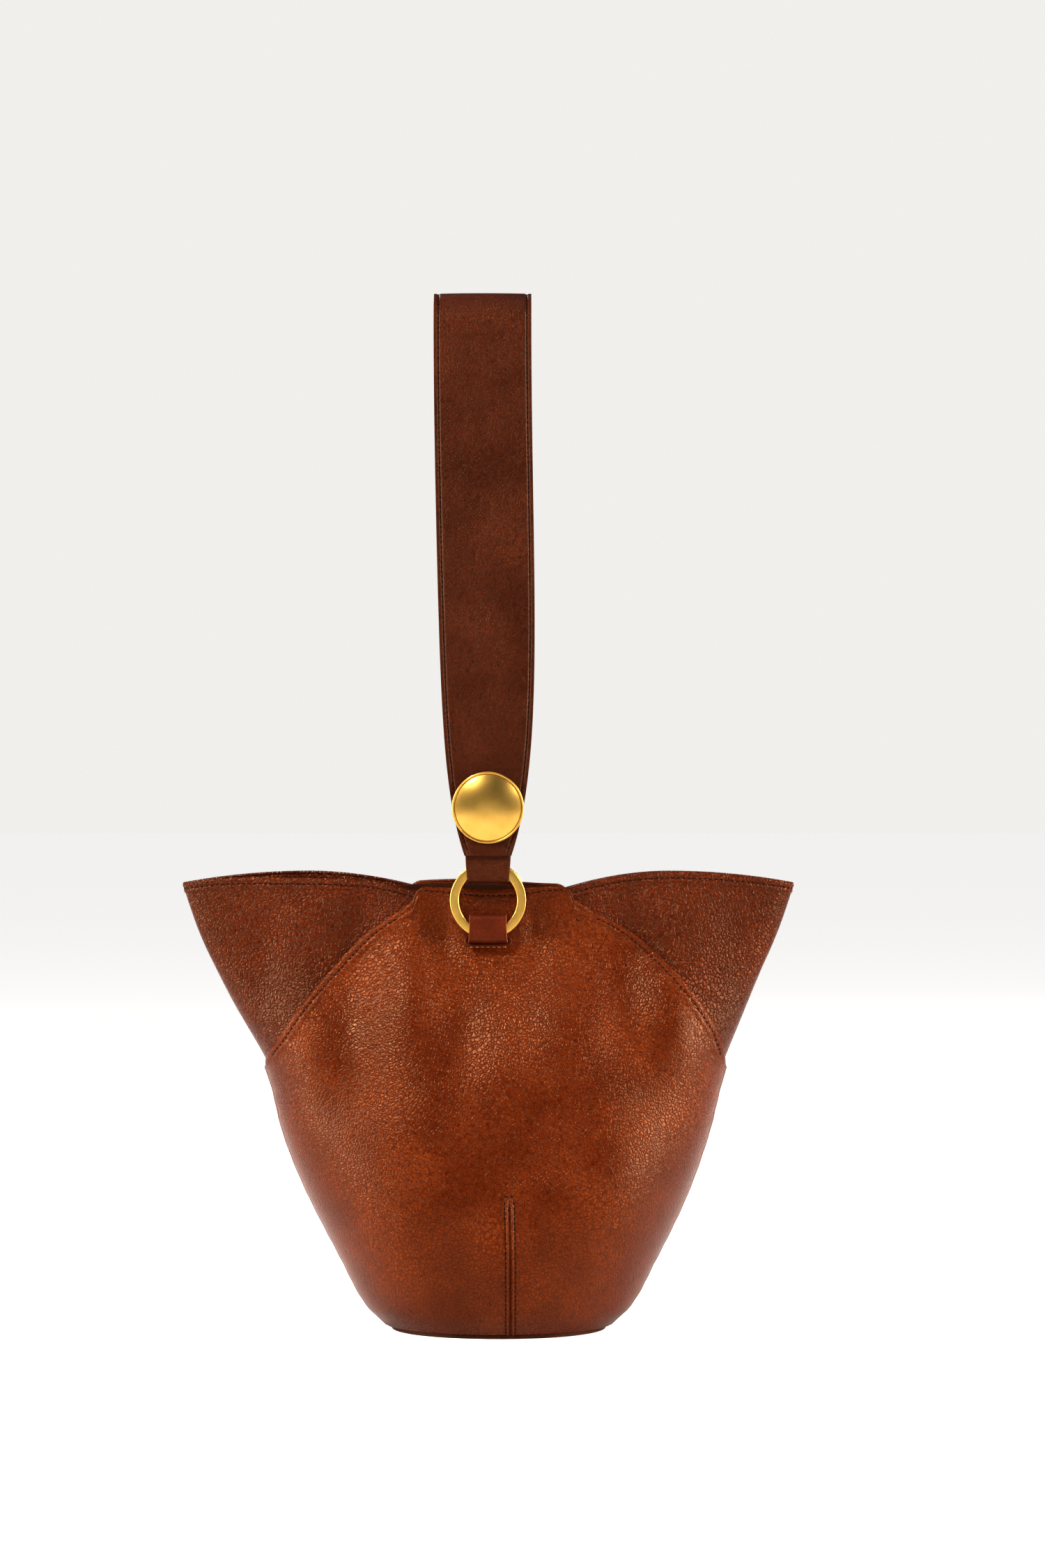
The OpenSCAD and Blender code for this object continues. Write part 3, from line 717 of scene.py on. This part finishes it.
def makeStrip(name, path, halfWidth, thickness, roundEdge, side, pitch=0.8 * mm, crown=0.15):
    # the path is (outwards, height) in mm, with the outer face on its left
    line, fraction = evenly(np.array(path) * mm, pitch)
    across = steps([-1, -0.8, 0.8, 1], [5, 12, 5])
    x = halfWidth(fraction)[:, None] * across[None, :]
    rows = raised(spread(x, line * (-1, 1)), crown * mm * (1 - across[None, :] ** 2) * np.ones_like(x))
    return thicken(sheetOn(name, facing(rows, side)), thickness, roundEdge)


# Tabs: they come out through the slit, go round the ring and are sewn down behind the panel

tabBox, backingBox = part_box("front_tab"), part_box("front_tab_backing")
tabMake = {"out": -tabBox[0].y / mm, "in": 16.6, "low": 178.6, "high": tabBox[1].z / mm + 1.6, "turn": 2.3,
           "thick": 1.5, "topHalf": 8.5, "lowHalf": 9.0,
           "lipHalf": 10.4, "lipHigh": 1.9, "lipBar": 0.9, "lipTurns": 8,
           "sewnHalf": 8.8, "sewnBelow": 2.1}


def insideFace(z, depth):  # distance from the middle of a layer that lies behind the panel
    return float(stationAt(z * mm, 2)) / mm - depth


def tabHalf(along):
    narrowing = (tabMake["topHalf"] - tabMake["lowHalf"]) * smooth((along - 0.4) / 0.25)
    return (tabMake["lowHalf"] + narrowing) * mm


def makeTab(name, side, node):
    out, near, low, top, turn = (tabMake[k] for k in ("out", "in", "low", "high", "turn"))
    tail = [(insideFace(z, 1.95), z) for z in np.linspace(tabBox[0].z / mm + 0.5, low - 2.4, 8)]
    path = tail + [(insideFace(low, 1.6), low - 0.6), (insideFace(low, 0.6), low)]
    path += roundTurn((out - turn, low + turn), turn, 270, 360)
    path += roundTurn((out - turn, top - turn), turn, 0, 90)
    path += roundTurn((near + turn, top - turn), turn, 90, 180) + [(near, low + 2.3)]
    tab = makeStrip(name, path, tabHalf, tabMake["thick"] * mm, 0.3 * mm, side, pitch=0.5 * mm)
    finishPiece(tab, "bag", "tab_leather", tabCalf, node)
    paintEdges(tab, cutEdge)


def makeLip(name, side):  # the rolled lip that is sewn round the slit
    half, tall, bar = (tabMake[k] * mm for k in ("lipHalf", "lipHigh", "lipBar"))
    centreZ = tabMake["low"] * mm + 0.7 * mm
    flat = half - tall
    ends = [roundTurn((flat, 0), tall, -90, 90, 13), roundTurn((-flat, 0), tall, 90, 270, 13)]
    loop = np.array(ends[0] + ends[1] + ends[0][:1])
    loop = evenly(loop, 0.6 * mm)[0]
    outward = np.gradient(loop, axis=0)
    outward = np.stack([outward[:, 1], -outward[:, 0]], axis=1)
    outward[0] = outward[-1] = (0, -1)
    outward = unit(outward)
    angles = np.radians(np.linspace(0, 360, tabMake["lipTurns"] + 1))
    x = loop[None, :, 0] + bar * np.cos(angles)[:, None] * outward[None, :, 0]
    z = centreZ + loop[None, :, 1] + bar * np.cos(angles)[:, None] * outward[None, :, 1]
    wall = stationAt(z, 2) * np.sqrt(1 - np.abs(x / stationAt(z, 1)) ** stationAt(z, 3))
    y = -wall - 0.55 * bar * np.sin(angles)[:, None]
    lip = sheetOn(name, facing(settle(np.stack([x, y, z], axis=-1)), side), joinEnds=True)
    inEditMode(lip, (bpy.ops.mesh.normals_make_consistent, {"inside": False}))
    bpy.ops.object.shade_smooth()
    finishPiece(lip, "bag", "tab_leather", tabCalf)


def sewTab(name, side):
    x = np.linspace(-tabMake["sewnHalf"], tabMake["sewnHalf"], 30) * mm
    z = np.full_like(x, (tabMake["low"] - tabMake["sewnBelow"]) * mm)
    points = settle(facing(np.stack([x, -stationAt(z, 2) - 0.1 * mm, z], axis=-1), side))
    ups = np.tile(np.array([0, -side, 0.25]), (len(x), 1))
    sewStitches(name, [(points, ups)], "bag", "tab_leather", tanThread, length=1.8, pitch=2.5)


def makeBacking(name, side, node):  # a patch behind the panel that the tab's tail is sewn to
    heights = np.linspace(backingBox[0].z, backingBox[1].z, 12)
    x = np.linspace(backingBox[0].x, backingBox[1].x, 20)
    y = -(stationAt(heights, 2) - 3.0 * mm)
    points = spread(np.tile(x, (12, 1)), np.stack([y, heights], axis=1))
    patch = thicken(sheetOn(name, facing(points, side)), 0.7 * mm, 0.2 * mm)
    finishPiece(patch, "bag", "stiffener", board, node)


for side, word in ((1, "front"), (-1, "back")):
    makeTab(word + "Tab", side, word + "_tab")
    makeLip(word + "SlitLip", side)
    sewTab(word + "TabStitches", side)
    makeBacking(word + "TabBacking", side, word + "_tab_backing")
print("tabs made")


# Brass: a profile in (radius, along the axis) is spun round, then stood up facing forwards

def spinProfile(name, profile, turns):
    clearSelection()
    bpy.ops.mesh.primitive_circle_add(vertices=len(profile), radius=1, fill_type="NOTHING")
    piece = bpy.context.object
    piece.name = name
    for vertex, (radius, height) in zip(piece.data.vertices, profile):
        vertex.co = (radius * mm, 0, height * mm)
    inEditMode(piece,
               (bpy.ops.mesh.spin, {"steps": turns, "angle": 2 * math.pi, "center": (0, 0, 0),
                                    "axis": (0, 0, 1)}),
               (bpy.ops.mesh.remove_doubles, {"threshold": 2e-6}),
               (bpy.ops.mesh.delete_loose, {}),
               (bpy.ops.mesh.normals_make_consistent, {"inside": False}))
    return piece


def standUp(piece, middle, side):  # the profile's axis turns to face the front or the back
    piece.data.transform(Matrix.Rotation(math.radians(90), 4, "X"))
    if side < 0:
        piece.data.transform(Matrix.Rotation(math.radians(180), 4, "Z"))
    piece.data.transform(Matrix.Translation(Vector((0, middle[1] * side, middle[2]))))
    choose(piece)
    bpy.ops.object.shade_smooth_by_angle(angle=math.radians(32))
    return piece


ringBox, studBox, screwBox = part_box("front_ring"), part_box("front_stud_cap"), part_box("front_stud_screw")
ringMake = {"outer": ringBox[1].x / mm, "inner": 13.3, "half": (ringBox[1].y - ringBox[0].y) / 2 / mm,
            "bevel": 0.55, "turns": 144}
studMake = {"radius": studBox[1].x / mm, "rim": 1.4, "dome": 3.0, "bead": 0.55, "post": 2.5,
            "turns": 128, "domeSteps": 22}
screwMake = {"head": screwBox[1].x / mm, "thick": 1.6, "shank": 1.5, "slot": 1.2, "slotDeep": 0.9,
             "turns": 72}


def makeRing(name, side, body, node):
    outer, inner, half, bevel = (ringMake[k] for k in ("outer", "inner", "half", "bevel"))
    corners = [(outer - bevel, half - bevel), (inner + bevel, half - bevel),
               (inner + bevel, -half + bevel), (outer - bevel, -half + bevel)]
    profile = []
    for start, corner in zip((0, 90, 180, 270), corners):
        profile += roundTurn(corner, bevel, start, start + 90, 5)
    middle = (ringBox[0] + ringBox[1]) / 2
    ring = standUp(spinProfile(name, profile, ringMake["turns"]), middle, side)
    finishPiece(ring, body, "satin_brass", brass, node)


def makeStud(name, side, body, node):
    radius, rim, dome, bead, post = (studMake[k] for k in ("radius", "rim", "dome", "bead", "post"))
    edge = radius - 2 * bead - 0.35
    ball = (edge ** 2 + dome ** 2) / (2 * dome)
    profile = [(r, rim + dome - ball + math.sqrt(ball ** 2 - r ** 2))
               for r in np.linspace(0, edge, studMake["domeSteps"])]
    profile += [(edge + 0.15, rim - 0.35), (edge + 0.35, rim - 0.45)]
    profile += roundTurn((radius - bead, rim - bead + 0.1), bead, 150, 0, 8)
    profile += [(radius, 0.35), (radius - 0.3, 0)]
    length = (studBox[1].y - studBox[0].y) / mm - rim - dome
    profile += [(post, 0), (post, -length), (0, -length)]
    middle = Vector((0, studBox[0].y + (rim + dome) * mm, (studBox[0].z + studBox[1].z) / 2))
    stud = standUp(spinProfile(name, profile, studMake["turns"]), middle, side)
    finishPiece(stud, body, "satin_brass", brass, node)


def makeScrew(name, side, body, node):  # the head faces the inside of the strap's loop
    head, thick, shank = (screwMake[k] for k in ("head", "thick", "shank"))
    length = (screwBox[1].y - screwBox[0].y) / mm
    profile = [(0, 0)] + roundTurn((head - 0.4, 0.4), 0.4, -90, 0, 5) + [(head, thick - 0.15)]
    profile += [(head - 0.15, thick), (shank, thick), (shank, length), (0, length)]
    screw = spinProfile(name, profile, screwMake["turns"])
    clearSelection()
    bpy.ops.mesh.primitive_cube_add(size=1)
    slot = bpy.context.object
    slotSize = (2.2 * head * mm, screwMake["slot"] * mm, 2 * screwMake["slotDeep"] * mm, 1)
    slot.data.transform(Matrix.Diagonal(slotSize))
    shapeWith(screw, "BOOLEAN", operation="DIFFERENCE", object=slot, solver="EXACT")
    bpy.data.objects.remove(slot)
    middle = Vector((0, screwBox[1].y, (screwBox[0].z + screwBox[1].z) / 2))
    finishPiece(standUp(screw, middle, side), body, "satin_brass", brass, node)


for side, word in ((1, "front"), (-1, "back")):
    makeRing(word + "Ring", side, word + "_ring", word + "_ring")
    makeStud(word + "Stud", side, word + "_stud", word + "_stud_cap")
    makeScrew(word + "StudScrew", side, word + "_stud", word + "_stud_screw")
print("brass turned")


# The strap: two leathers over a stiff core, sewn along both edges and looped from ring to ring

strapBox, tongueBox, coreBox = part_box("strap_face"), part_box("front_tongue"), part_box("strap_core")
strapMake = {
    "face": 2.0 * mm, "core": 1.7 * mm, "lining": 1.4 * mm, "coreInset": 2.5 * mm, "coreRoom": 1.8 * mm,
    "straight": 265 * mm, "bend": 12 * mm,
    "endHalf": 10.7 * mm, "taper": 35 * mm,
    "stitchIn": 2.1, "groove": 0.6, "crown": 0.3,
    "lean": -2.6 * mm,
}
neutral = -strapBox[0].y - strapMake["face"]
strapLow, strapTop = strapBox[0].z, strapBox[1].z
bendZ = strapTop - strapMake["face"] - strapMake["bend"]


def runOut(z):  # distance of the strap's neutral line from the middle
    t = np.clip((z - strapMake["straight"]) / (bendZ - strapMake["straight"]), 0, 1)
    return strapMake["bend"] + (neutral - strapMake["bend"]) * (1 + np.cos(math.pi * t)) / 2


def strapHalf(z):
    half = strapBox[1].x
    return half - (half - strapMake["endHalf"]) * np.exp(-(z - strapLow) / strapMake["taper"])


def strapRows(low, offset, inset=0.0, inner=False):
    # rows of points that follow the loop at an offset from its neutral line
    z = np.linspace(low, bendZ, 500)
    angles = np.linspace(math.pi, 0, 120)[1:-1]
    y = np.concatenate([-runOut(z), strapMake["bend"] * np.cos(angles), runOut(z)[::-1]])
    z = np.concatenate([z, bendZ + strapMake["bend"] * np.sin(angles), z[::-1]])
    line, _ = evenly(np.stack([y, z], axis=1), 2.0 * mm)
    along = unit(np.gradient(line, axis=0))
    line = line + offset * np.stack([-along[:, 1], along[:, 0]], axis=1)
    line = line[::-1] if inner else line
    half = strapHalf(line[:, 1]) - inset
    near = 4 * mm / half
    across = np.stack([steps([-1, -1 + n, 1 - n, 1], [12, 14, 12]) for n in near])
    x = half[:, None] * across
    edge = half[:, None] * (1 - np.abs(across)) / mm
    level = smooth((line[:, 1] - 258 * mm) / (16 * mm))[:, None]
    height = strapMake["crown"] * level * (1 - across ** 2) - strapMake["groove"] * hump(
        (edge - strapMake["stitchIn"]) / 0.5)
    lean = strapMake["lean"] * smooth((line[:, 1] - strapMake["straight"]) / (bendZ - strapMake["straight"]))
    points = raised(spread(x, line), height * mm)
    points[..., 0] += lean[:, None]
    return points, edge


def strapStitchPaths(points, edge):
    normals = normalsOf(points)
    z, x = points[:, 0, 2], points[:, 0, 0]
    studZ, studReach = (studBox[0].z + studBox[1].z) / 2, studBox[1].x
    paths = []
    for columns in (slice(0, 13), slice(-13, None)):
        path, ups = lineAt(points[:, columns], normals[:, columns], edge[:, columns], strapMake["stitchIn"])
        free = np.hypot(path[:, 0], path[:, 2] - studZ) > studReach + 0.8 * mm
        free &= path[:, 2] > strapLow + 1.5 * mm
        breaks = np.flatnonzero(np.diff(free.astype(int))) + 1
        for piece in np.split(np.arange(len(path)), breaks):
            if free[piece[0]] and len(piece) > 2:
                paths.append((path[piece], ups[piece]))
    return paths


def makeStrapLeather(name, node, offset, thick, roundEdge, inner=False):
    points, edge = strapRows(strapLow, offset, inner=inner)
    leather = thicken(sheetOn(name, points), thick, roundEdge)
    finishPiece(leather, "handle", "strap_leather", strapCalf, node)
    paintEdges(leather, edgePaint)
    sewStitches(name + "Stitches", strapStitchPaths(points, edge), "handle", "strap_leather", darkThread,
                length=1.8, pitch=2.3)


makeStrapLeather("strapFace", "strap_face", strapMake["face"], strapMake["face"] - 0.05 * mm, 0.45 * mm)
makeStrapLeather("strapLining", "strap_lining", -strapMake["coreRoom"] - strapMake["lining"],
                 strapMake["lining"], 0.35 * mm, inner=True)
corePoints, _ = strapRows(coreBox[0].z, -0.1 * mm, inset=strapMake["coreInset"])
strapCore = thicken(sheetOn("strapCore", corePoints), strapMake["core"] - 0.1 * mm, 0.2 * mm)
finishPiece(strapCore, "handle", "stiffener", board, "strap_core")


tongueMake = {"behind": 19.55, "turn": 2.1, "thick": 1.5, "half": 10.4, "pinch": 1.25,
              "bends": (221.5, 219.5, 216.2, 214.5)}  # heights where its back leg steps in towards the bag


def tongueHalf(along):  # pinched where it goes through the ring
    return (tongueMake["half"] - tongueMake["pinch"] * hump((along - 0.49) / 0.1)) * mm


def makeTongue(name, side, node):  # it hangs on the ring, with one end in the strap and the other behind it
    out, low, top = -tongueBox[0].y / mm, tongueBox[0].z / mm, tongueBox[1].z / mm - 0.3
    near, behind, turn = -tongueBox[1].y / mm, tongueMake["behind"], tongueMake["turn"]
    outwards = (behind, behind - 0.3, near + 0.3, near)
    path = [(behind, top)] + list(zip(outwards, tongueMake["bends"]))
    path += roundTurn((near + turn, low + turn), turn, 180, 270)
    path += roundTurn((out - turn, low + turn), turn, 270, 360) + [(out, top)]
    tongue = makeStrip(name, path, tongueHalf, tongueMake["thick"] * mm, 0.3 * mm, side, crown=0.05)
    finishPiece(tongue, "handle", "strap_leather", strapCalf, node)
    paintEdges(tongue, edgePaint)


makeTongue("frontTongue", 1, "front_tongue")
makeTongue("backTongue", -1, "back_tongue")
print("strap made")


# Studio

studio = {
    # the camera is level, at about half the height of the bag with its strap up
    "camera": {"lens": 100, "away": 2.015, "aim": (15.8 * mm, 0.0, 251.3 * mm)},
    "floor": 40.0,
    "softboxes": [  # turn and rise from the front in degrees, distance, width, height, watts
        (-33, 44, 1.9, 0.2, 0.2, 27),
        (-78, 12, 1.6, 0.4, 1.1, 32),
        (76, 14, 1.6, 0.4, 1.1, 38),
        (48, 28, 2.0, 0.22, 0.22, 9),
        (-58, 26, 2.0, 0.22, 0.22, 8),
        (0, 3, 2.7, 1.4, 0.9, 2.2),
        (150, 20, 2.1, 0.4, 1.0, 22),
        (-148, 32, 2.1, 0.4, 1.0, 24),
        (180, 3, 2.7, 1.4, 0.9, 2.2),
    ],
    "aimHigh": 0.17,
    "overhead": 0.8, "overheadSpread": 40,
    "sky": 0.08, "backdrop": 0.9, "floorGlow": 0.62,  # only the camera sees the last two
    "contrast": 0.8,
}


def paperFloor(name, shown, bounced, glow):  # matt white paper, kept from throwing too much light back up
    material, tree, shader, _ = newMaterial(name, Roughness=0.9)
    seen = addNode(tree, "ShaderNodeLightPath").outputs["Is Camera Ray"]
    tree.links.new(blendOf(tree, seen, [(0.0, bounced), (1.0, shown)]), shader.inputs["Base Color"])
    shader.inputs["Emission Color"].default_value = (1, 1, 1, 1)
    tree.links.new(sumOf(tree, 0.0, (seen, glow)), shader.inputs["Emission Strength"])
    return material


clearSelection()
bpy.ops.mesh.primitive_plane_add(size=studio["floor"])
floor = bpy.context.object
floor.name = "studioFloor"
floor.data.materials.append(paperFloor("palePaper", "#F2F0ED", "#E4E0DB", studio["floorGlow"]))


def lookAt(thing, target):  # points a lamp or the camera, whose own view is along -Z
    thing.rotation_euler = (Vector(target) - thing.location).to_track_quat("-Z", "Y").to_euler()
    bpy.context.scene.collection.objects.link(thing)


for number, (turn, rise, away, width, height, watts) in enumerate(studio["softboxes"]):
    lamp = bpy.data.lights.new(f"softbox{number}", "AREA")
    lamp.shape = "RECTANGLE"
    lamp.size, lamp.size_y, lamp.energy = width, height, watts
    softbox = bpy.data.objects.new(lamp.name, lamp)
    around, up = math.radians(turn), math.radians(rise)
    softbox.location = (away * math.sin(around) * math.cos(up), -away * math.cos(around) * math.cos(up),
                        studio["aimHigh"] + away * math.sin(up))
    lookAt(softbox, (0, 0, studio["aimHigh"]))

overhead = bpy.data.objects.new("overhead", bpy.data.lights.new("overhead", "SUN"))
overhead.data.energy, overhead.data.angle = studio["overhead"], math.radians(studio["overheadSpread"])
overhead.location = (0, 0, 3)
lookAt(overhead, (0, 0, 0))

# a dim room, with a pale backdrop where the camera looks past the floor
room = bpy.data.worlds.new("paleRoom")
room.use_nodes = True
background = room.node_tree.nodes["Background"]
background.inputs["Color"].default_value = (1.0, 0.99, 0.97, 1)
seen = addNode(room.node_tree, "ShaderNodeLightPath").outputs["Is Camera Ray"]
room.node_tree.links.new(sumOf(room.node_tree, studio["sky"], (seen, studio["backdrop"] - studio["sky"])),
                         background.inputs["Strength"])
bpy.context.scene.world = room

shot = studio["camera"]
camera = bpy.data.objects.new("camera", bpy.data.cameras.new("camera"))
camera.data.lens = shot["lens"]
camera.data.clip_end = 50
camera.location = Vector(shot["aim"]) + Vector((0, -shot["away"], 0))
lookAt(camera, shot["aim"])
bpy.context.scene.camera = camera
bpy.context.scene.view_settings.view_transform = "Standard"
bpy.context.scene.view_settings.gamma = studio["contrast"]
print("studio ready")
